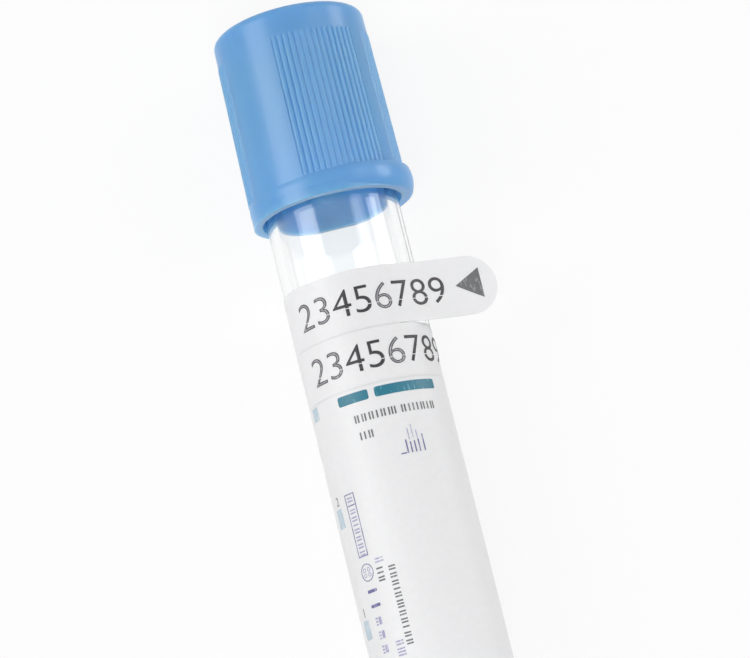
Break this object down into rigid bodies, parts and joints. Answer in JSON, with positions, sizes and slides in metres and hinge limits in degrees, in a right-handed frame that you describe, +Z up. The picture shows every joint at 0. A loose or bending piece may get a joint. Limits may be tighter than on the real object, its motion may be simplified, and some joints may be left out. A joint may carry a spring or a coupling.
{
  "type": "blood collection tube",
  "caption": "Glass blood collection tube with a ribbed blue cap, rubber stopper, wrapped label and a half-peeled number strip, lying down.",
  "frame": {"origin": "middle of the footprint, on the surface that the tube lies on", "axes": "+Y along the tube towards the cap, rising 1 degree; +X towards the peeled tab; +Z up"},
  "size_m": [0.0214, 0.082, 0.0153],
  "materials": {
    "tube_glass": "clear borosilicate glass, fire polished",
    "cap_plastic": "light blue moulded polyethylene, satin gloss",
    "stopper_rubber": "matt grey butyl rubber",
    "label_paper": "white coated label paper",
    "citrate_liquid": "clear water-like liquid"
  },
  "bodies": {
    "tube": {"glass_tube": "tube_glass", "tear_strip": "label_paper", "number_strip": "label_paper", "main_label": "label_paper", "citrate_dose": "citrate_liquid"},
    "cap": {"cap_shell": "cap_plastic", "rubber_stopper": "stopper_rubber"}
  },
  "joints": [
    {"name": "cap_pull", "type": "slide", "parent": "tube", "child": "cap", "axis": [0, 0.9999, 0.0173], "range_m": [0, 0.016]}
  ]
}
